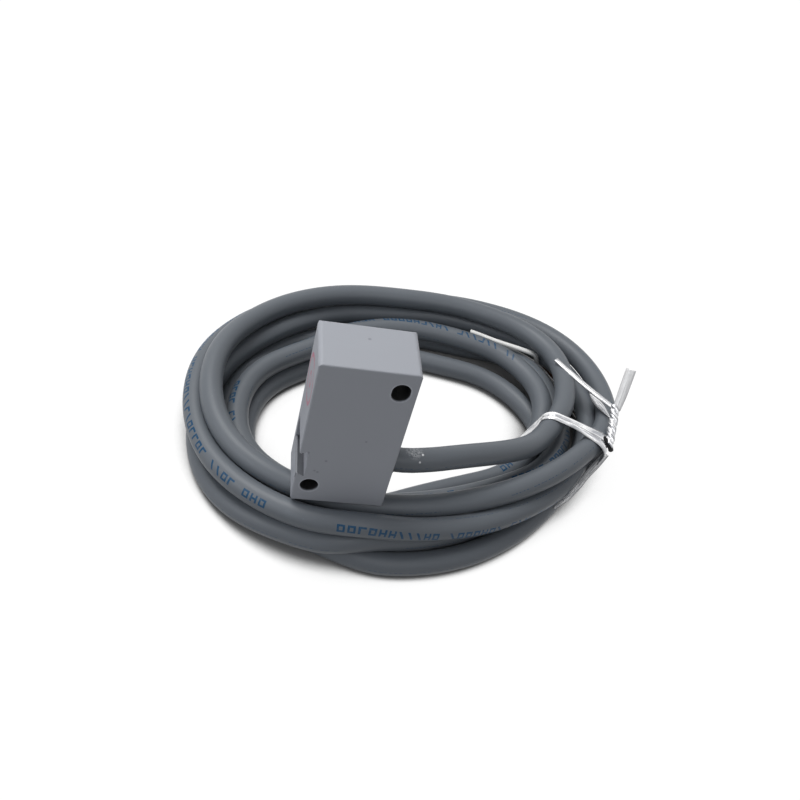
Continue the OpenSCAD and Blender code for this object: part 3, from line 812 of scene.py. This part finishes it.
def tube_tree():
    """Geometry nodes that sweep a round jacket along a line and note the place along and round it."""
    tree = bpy.data.node_groups.new("Jacket along a line", "GeometryNodeTree")
    socket(tree, "Line", "Geometry")
    socket(tree, "Radius", "Float", 0.00245)
    socket(tree, "Sides", "Int", 24)
    socket(tree, "Finish", "Material")
    socket(tree, "Jacket", "Geometry", output=True)
    work = Shader(tree)
    given = work.add("NodeGroupInput").outputs
    out = work.add("NodeGroupOutput").inputs
    upright = work.add("GeometryNodeSetCurveNormal", {"Curve": given["Line"]})
    upright.mode = "Z_UP"
    far = work.add("GeometryNodeSplineParameter").outputs["Length"]
    curve, along = noted(work, upright.outputs[0], "Along", far)
    ring = work.add("GeometryNodeCurvePrimitiveCircle", {"Resolution": given["Sides"],
                                                         "Radius": given["Radius"]})
    turn = work.times(work.add("GeometryNodeSplineParameter").outputs["Factor"], math.tau)
    ring, angle = noted(work, ring.outputs["Curve"], "Angle", turn)
    swept = work.add("GeometryNodeCurveToMesh", {"Curve": curve, "Profile Curve": ring, "Fill Caps": True})
    # On the far half of the jacket the side is moved past the print's height, so nothing is printed.
    hidden = work.below(work.math("COSINE", angle), 0.0)
    side = work.plus(work.times(work.math("SINE", angle), given["Radius"]),
                     work.times(hidden, given["Radius"], 4.0))
    geometry = swept.outputs["Mesh"]
    for name, value in (("along", along), ("side", side)):
        named = work.add("GeometryNodeStoreNamedAttribute",
                         {"Geometry": geometry, "Name": name, "Value": value},
                         data_type="FLOAT", domain="POINT")
        geometry = named.outputs["Geometry"]
    real = work.add("GeometryNodeRealizeInstances", {"Geometry": geometry})
    soft = work.add("GeometryNodeSetShadeSmooth", {"Geometry": real.outputs["Geometry"]})
    done = work.add("GeometryNodeSetMaterial", {"Geometry": soft.outputs["Geometry"],
                                                "Material": given["Finish"]})
    work.links.new(done.outputs["Geometry"], out["Jacket"])
    return tree


def swept_tube(name, line, radius, sides, finish, print_turns=None):
    """A round tube along a line, made by the geometry nodes and turned into a plain mesh."""
    tree = bpy.data.node_groups.get("Jacket along a line") or tube_tree()
    curve = bpy.data.curves.new(name + "_line", "CURVE")
    curve.dimensions = "3D"
    spline = curve.splines.new("POLY")
    spline.points.add(len(line) - 1)
    for point, place, turn in zip(spline.points, line, print_turns or [0.0] * len(line)):
        point.co = (*place, 1.0)
        point.tilt = turn
    holder = linked(name + "_line", curve)
    modifier = holder.modifiers.new("Jacket", "NODES")
    modifier.node_group = tree
    idents = {item.name: item.identifier for item in tree.interface.items_tree
              if item.in_out == "INPUT"}
    modifier[idents["Radius"]] = radius
    modifier[idents["Sides"]] = sides
    modifier[idents["Finish"]] = finish
    graph = bpy.context.evaluated_depsgraph_get()
    mesh = bpy.data.meshes.new_from_object(holder.evaluated_get(graph), depsgraph=graph)
    mesh.name = name
    bpy.data.objects.remove(holder)
    return mesh


def aimed(place, aim, roll=0.0):
    """Place and turn of a camera or a lamp that looks at a point."""
    turn = (Vector(aim) - Vector(place)).to_track_quat("-Z", "Y").to_matrix().to_4x4()
    return Matrix.Translation(place) @ turn @ Matrix.Rotation(roll, 4, "Z")


def glow_where_seen(work, output, dim, bright, share=1.0):
    """Shows the bright shader to the camera, in gloss and through glass, and the dim one to the rest."""
    seen = work.add("ShaderNodeLightPath").outputs
    direct = work.larger(seen["Is Camera Ray"], seen["Is Glossy Ray"])
    direct = work.larger(direct, seen["Is Transmission Ray"])
    mixed = work.add("ShaderNodeMixShader", {0: work.times(direct, share), 1: dim.outputs[0],
                                             2: bright.outputs[0]})
    work.put(work.nodes[output], "Surface", mixed.outputs[0])


class SWITCH_OT_stage(Operator):
    """Camera at the photograph's angle, pale floor and soft studio light"""
    bl_idname = "switch.stage"
    bl_label = "Camera, floor and light"

    def execute(self, context):
        sizes = context.scene.switch_stage
        scene = context.scene
        camera = linked("camera", bpy.data.cameras.new("camera"))
        camera.matrix_world = aimed(sizes.eye, sizes.aim, sizes.roll)
        camera.data.lens = sizes.lens
        camera.data.sensor_width = 36.0
        camera.data.clip_start = 0.005
        camera.data.clip_end = 20.0
        scene.camera = camera
        scene.view_settings.view_transform = "Standard"
        self.floor(context)
        self.sky(context)
        self.lamps()
        return {"FINISHED"}

    def floor(self, context):
        """Floor that the camera sees nearly white, with painted shade where the object is close over it:
        ambient occlusion dims the glow.
        """
        half = 1.5
        height = context.scene.switch_cable.floor
        mesh = bpy.data.meshes.new("floor")
        corners = [(x * half, y * half, height) for x, y in ((-1, -1), (1, -1), (1, 1), (-1, 1))]
        mesh.from_pydata(corners, [], [(0, 1, 2, 3)])
        look = Finish("pale floor")
        look.set("Base Color", four(context.scene.switch_colours.floor))
        look.set("Roughness", 0.9)
        look.set("Specular IOR Level", 0.1)
        glow = look.add("ShaderNodeEmission", {"Color": (1, 1, 1, 1), "Strength": 1.38})
        # Painted shade: where ambient occlusion finds the floor hemmed in by the object, less of the glow
        # is shown.
        open_sky = look.add("ShaderNodeAmbientOcclusion", {"Distance": 0.03}, samples=16).outputs["AO"]
        share = look.times(look.remap(open_sky, 0.36, 0.6), 0.70)
        glow_where_seen(look, "Material Output", look.shader, glow, share)
        mesh.materials.append(look.made)
        linked("floor", mesh)

    def sky(self, context):
        """Dim even light from all round, behind a backdrop that the camera sees white."""
        world = bpy.data.worlds.new("studio")
        context.scene.world = world
        world.use_nodes = True
        work = Shader(world.node_tree)
        plain = work.nodes["Background"]
        work.put(plain, "Color", (0.95, 0.97, 1.0, 1))
        work.put(plain, "Strength", 0.18)
        white = work.add("ShaderNodeBackground", {"Color": (1, 1, 1, 1), "Strength": 1.0})
        glow_where_seen(work, "World Output", plain, white)

    def lamps(self):
        """Three soft round lamps, given by name, place, size, power and colour."""
        lamps = (
            ("key", (-0.25, 0.30, 0.75), 0.55, 5.7, (1.0, 0.99, 0.97)),
            ("fill", (-0.75, -0.25, 0.45), 0.60, 2.3, (0.95, 0.97, 1.0)),
            ("front", (0.15, -0.70, 0.75), 0.70, 1.75, (1.0, 1.0, 1.0)),
        )
        for name, place, size, power, colour in lamps:
            lamp = bpy.data.lights.new(name, "AREA")
            lamp.shape = "DISK"
            lamp.size = size
            lamp.energy = power
            lamp.color = colour
            linked(name, lamp).matrix_world = aimed(place, (0.02, 0.02, 0.0))


class SWITCH_OT_cable(Operator):
    """The cable from its bush through all turns of the coil to its cut end"""
    bl_idname = "switch.cable"
    bl_label = "Cable"

    def execute(self, context):
        sizes = context.scene.switch_cable
        radius = sizes.diameter / 2
        line = even_line(coil_line(sizes), CABLE_STEP)
        fixed = 6
        slack = 1.004
        rest = resting(context)
        line = settled(line, sizes.diameter * slack, radius, rest, fixed)
        line = eased(line, fixed)
        line = settled(line, sizes.diameter, radius, rest, fixed, 20)
        sides = [math.radians(smooth_between(PRINT_SIDES, at / 3) - 90) for at in stations(line, sizes)]
        finish = jacket_finish(context.scene.switch_colours)
        mesh = swept_tube("cable", line, radius, sizes.sides, finish, sides)
        cable = new_piece(mesh, finish)
        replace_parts(cable, "cable_lead", "cable_coil")
        cores = [self.core(context, name, route, line) for name, route in CORE_ROUTES.items()]
        LAID[:] = line
        return {"FINISHED"}

    def core(self, context, name, route, line):
        """A stripped core from the jacket's cut end, laid clear of the strands."""
        sizes = context.scene.switch_cable
        finish = plain_finish("core " + name, CORE_COLOURS[name], rough=0.4, flow=200.0)
        laid = clear_of(along_route(route, CORE_STEP), line, (sizes.diameter + sizes.core) / 2,
                        sizes.floor + sizes.core / 2)
        mesh = swept_tube("stripped_" + name, laid, sizes.core / 2, THIN_SIDES, finish)
        piece = new_piece(mesh, finish)
        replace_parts(piece, "end_core_" + name)
        return piece


def film_profile(rim, ridge):
    """Half-width positions and heights of a flat film over two wires, as (side, height) points."""
    upper = [(-1.0, rim), (-0.82, rim), (-0.68, ridge * 0.8), (-0.5, ridge), (-0.3, ridge * 0.8),
             (-0.1, rim * 1.2), (0.02, rim), (0.14, rim * 1.2), (0.34, ridge * 0.8), (0.52, ridge),
             (0.7, ridge * 0.8), (0.84, rim), (1.0, rim)]
    return upper + [(side, -rim) for side, _ in upper[::-2]]


def band_mesh(name, line, across, widths, profile, closed=False):
    """A band along a line; across gives its flat direction and widths its width at each point."""
    count = len(profile)
    verts, faces, sides, alongs = [], [], [], []
    far = 0.0
    for i, point in enumerate(line):
        before = line[i - 1] if i or closed else line[i]
        after = line[(i + 1) % len(line)] if i < len(line) - 1 or closed else line[i]
        ahead = (after - before).normalized()
        flat = (across[i] - ahead * across[i].dot(ahead)).normalized()
        up = flat.cross(ahead)
        verts += [tuple(point + flat * (u * widths[i] / 2) + up * v) for u, v in profile]
        sides += [u for u, _ in profile]
        alongs += [far] * count
        far += (after - point).length
    rings = len(line)
    for i in range(rings if closed else rings - 1):
        a, b = i * count, (i + 1) % rings * count
        for k in range(count):
            m = (k + 1) % count
            faces.append((a + k, a + m, b + m, b + k))
    if not closed:
        faces.append(tuple(range(count)))
        faces.append(tuple((rings - 1) * count + k for k in range(count)))
    mesh = bpy.data.meshes.new(name)
    mesh.from_pydata(verts, [], faces)
    mesh.validate()
    mesh.update()
    for key, values in (("side", sides), ("along", alongs)):
        mesh.attributes.new(key, "FLOAT", "POINT").data.foreach_set("value", values)
    return outward(mesh)


def outward(mesh):
    """Turns a closed mesh's faces outwards and shades them smooth."""
    work = bmesh.new()
    work.from_mesh(mesh)
    bmesh.ops.recalc_face_normals(work, faces=work.faces)
    work.to_mesh(mesh)
    work.free()
    mesh.shade_smooth()
    return mesh


def hull(spots):
    """Outline of flat points, counter-clockwise."""
    spots = sorted(spots)
    rows = []
    for part in (spots, spots[::-1]):
        row = []
        for x, y in part:
            while len(row) > 1 and ((row[-1][0] - row[-2][0]) * (y - row[-2][1])
                                    - (row[-1][1] - row[-2][1]) * (x - row[-2][0])) <= 0:
                row.pop()
            row.append((x, y))
        rows += row[:-1]
    return rows


def strand_cuts(sizes, out, ahead, radius, facets=40):
    """Outlines of the strands in the tie's plane, as flat points; a leaning strand is cut slantwise."""
    middle = Vector(sizes.middle)
    rim = []
    for a, b in zip(LAID, LAID[1:]):
        before, after = (a - middle).dot(ahead), (b - middle).dot(ahead)
        if before < 0.0 <= after and (a - middle).length < sizes.reach:
            spot = a.lerp(b, before / (before - after)) - middle
            heading = (b - a).normalized()
            share = heading.dot(ahead)
            lean = (heading - ahead * share) * (1 / share - 1) / max(1 - share * share, 1e-6)
            for k in range(facets):
                turn = math.tau * k / facets
                edge = (out * math.cos(turn) + Vector((0, 0, math.sin(turn)))) * radius
                edge = spot + edge + lean * edge.dot(heading)
                rim.append((edge.dot(out), edge.z))
    return rim


class SWITCH_OT_tie(Operator):
    """The film tie pulled round the coil, its twisted ends, tails, flap and bent wire end"""
    bl_idname = "switch.tie"
    bl_label = "Twist tie"

    def execute(self, context):
        sizes = context.scene.switch_tie
        films = {
            "bright": film_finish("tie film"),
            "milky": film_finish("tie flap film", clear=0.35),
            "white": film_finish("tie tail film", clear=0.1, contrast=0.3),
        }
        meshes = [
            (self.strap(context, sizes), "bright"),
            (self.twisted("tie_knot_one", sizes, 0.0), "bright"),
            (self.twisted("tie_knot_two", sizes, math.pi), "bright"),
        ]
        for name, (route, across, widths, film) in LOOSE_ENDS.items():
            meshes.append((self.loose(name, route, across, widths), film))
        for mesh, film in meshes:
            piece = new_piece(mesh, films[film])
            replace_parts(piece, "twist_tie")
        dark = plain_finish("tie wire end", (0.005, 0.005, 0.006), rough=0.5, specular=0.2)
        line = along_route(WIRE_END_ROUTE, TWIST_STEP)
        end = swept_tube("tie_wire_end", line, WIRE_END_RADIUS, THIN_SIDES, dark)
        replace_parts(new_piece(end, dark), "twist_tie")
        return {"FINISHED"}

    def strap(self, context, sizes):
        """The film pulled tight round the strands that cross the tie's plane, and clear of them."""
        middle = Vector(sizes.middle)
        out = Vector((math.cos(sizes.turn), math.sin(sizes.turn), 0.0))
        ahead = Vector((-out.y, out.x, 0.0))
        radius = context.scene.switch_cable.diameter / 2 + sizes.thickness
        rim = hull(strand_cuts(sizes, out, ahead, radius))
        outline = [middle + out * x + Vector((0.0, 0.0, z)) for x, z in rim]
        line = even_line(outline + outline[:1], STRAP_STEP)[:-1]
        full_flare = 0.008
        spread = [sizes.flare * min(1.0, max(0.0, (p - middle).dot(out) / full_flare)) for p in line]
        widths = [sizes.width + more for more in spread]
        line = [p - ahead * more / 2 for p, more in zip(line, spread)]
        profile = film_profile(sizes.thickness / 2, sizes.ridge)
        mesh = band_mesh("tie_strap", line, [ahead] * len(line), widths, profile, closed=True)
        strands = search_tree(even_line(LAID, SEARCH_STEP))
        for i, vert in enumerate(mesh.vertices):
            near, _, away = strands.find(vert.co)
            least = radius - sizes.thickness / 2 + profile[i % len(profile)][1]
            if away < least:
                vert.co = near + (vert.co - near) * (least / away)
            vert.co.z = max(vert.co.z, context.scene.switch_cable.floor)
        return mesh

    def twisted(self, name, sizes, start):
        """One of the two ends that are twisted round each other."""
        route = along_route(KNOT_ROUTE, TWIST_STEP)
        ahead = (route[-1] - route[0]).normalized()
        side = ahead.cross(Vector((0, 0, 1))).normalized()
        up = side.cross(ahead)
        line, across = [], []
        for i, point in enumerate(route):
            angle = start + math.tau * sizes.twists * i / (len(route) - 1)
            off = side * math.cos(angle) + up * math.sin(angle)
            line.append(point + off * KNOT_OFFSET)
            across.append(ahead.cross(off))
        profile = film_profile(KNOT_RIM, KNOT_RIDGE)
        return band_mesh(name, line, across, [KNOT_WIDTH] * len(line), profile)

    def loose(self, name, route, across, widths):
        """A loose length of film; its widths are in millimetres, one for each point of its route."""
        line = along_route(route, FILM_STEP)
        spread = [smooth_between(widths, i * (len(widths) - 1) / (len(line) - 1)) * MM
                  for i in range(len(line))]
        return band_mesh(name, line, [Vector(across).normalized()] * len(line), spread, LOOSE_FILM)


class SWITCH_OT_case(Operator):
    """Finishes of the housing, its rear cover, the indicator window and the cable bush"""
    bl_idname = "switch.case"
    bl_label = "Case finishes"

    def execute(self, context):
        dress("housing", case_finish(context.scene.switch_colours))
        dress("rear_cover", plain_finish("cover grey", (0.28, 0.29, 0.315), rough=0.5, drift=0.04,
                                         grain=9000.0, flow=60.0))
        window = plain_finish("window red", (0.45, 0.012, 0.01), rough=0.22, drift=0.03, coat=0.15)
        dress("indicator_lens", window)
        dress("cable_bush", plain_finish("bush rubber", (0.022, 0.022, 0.024), rough=0.62, drift=0.05,
                                         grain=2500.0, bump=0.3, specular=0.3))
        return {"FINISHED"}


class SWITCH_OT_inside(Operator):
    """Finishes of the pieces inside the housing"""
    bl_idname = "switch.inside"
    bl_label = "Inner finishes"

    def execute(self, context):
        finishes = {
            "potting_resin": ("cast resin", (0.016, 0.016, 0.018), dict(rough=0.2, coat=0.4)),
            "ferrite_core": ("ferrite", (0.035, 0.035, 0.037), dict(rough=0.55, grain=3000.0, bump=0.4)),
            "coil_bobbin": ("bobbin plastic", (0.66, 0.62, 0.50), dict(rough=0.45)),
            "circuit_board": ("solder mask", (0.012, 0.10, 0.035), dict(rough=0.25, coat=0.4)),
            "oscillator_ic": ("chip black", (0.012, 0.012, 0.013), dict(rough=0.5, grain=4000.0)),
            "output_transistor": ("transistor black", (0.014, 0.014, 0.015), dict(rough=0.45)),
            "protection_diode": ("diode black", (0.016, 0.016, 0.017), dict(rough=0.45)),
            "zener_diode": ("diode glass", (0.45, 0.16, 0.06), dict(rough=0.12, coat=0.7)),
            "supply_capacitor": ("tantalum yellow", (0.63, 0.30, 0.02), dict(rough=0.35)),
            "tank_capacitor": ("capacitor ceramic", (0.39, 0.27, 0.15), dict(rough=0.5)),
            "chip_resistors": ("resistor black", (0.02, 0.02, 0.022), dict(rough=0.3)),
            "indicator_led": ("lamp body", (0.82, 0.78, 0.70), dict(rough=0.3)),
            "solder_joints": ("solder", (0.55, 0.56, 0.58), dict(rough=0.3, metal=1.0)),
            "cable_clamp": ("clamp steel", (0.50, 0.51, 0.52), dict(rough=0.35, metal=1.0)),
        }
        for name, colour in CORE_COLOURS.items():
            finishes["wire_" + name] = ("wire " + name, colour, dict(rough=0.4))
        for node, (name, colour, how) in finishes.items():
            dress(node, plain_finish(name, colour, **how))
        copper = plain_finish("enamelled copper", (0.52, 0.16, 0.05), rough=0.3, metal=0.8, coat=0.5,
                              grain=9000.0, bump=0.4)
        dress("coil_winding", copper)
        dress("coil_leads", copper)
        dress("cable_stub", jacket_finish(context.scene.switch_colours, "stub jacket", printed=False))
        return {"FINISHED"}


class SWITCH_PT_panel(Panel):
    """All sizes, colours and steps"""
    bl_label = "Proximity switch"
    bl_space_type = "VIEW_3D"
    bl_region_type = "UI"
    bl_category = "Proximity switch"

    def draw(self, context):
        for name, group in GROUPS.items():
            box = self.layout.box()
            for key in group.__annotations__:
                box.prop(getattr(context.scene, name), key)
        for step in STEPS:
            self.layout.operator(step.bl_idname)


STEPS = (SWITCH_OT_stage, SWITCH_OT_cable, SWITCH_OT_tie, SWITCH_OT_case, SWITCH_OT_inside)
CLASSES = (*GROUPS.values(), *STEPS, SWITCH_PT_panel)


def register():
    for item in CLASSES:
        bpy.utils.register_class(item)
    for name, group in GROUPS.items():
        setattr(bpy.types.Scene, name, PointerProperty(type=group))


def unregister():
    for name in GROUPS:
        delattr(bpy.types.Scene, name)
    for item in reversed(CLASSES):
        bpy.utils.unregister_class(item)


def main():
    register()
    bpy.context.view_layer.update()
    for step in STEPS:
        group, call = step.bl_idname.split(".")
        getattr(getattr(bpy.ops, group), call)()


if __name__ == "__main__":
    main()
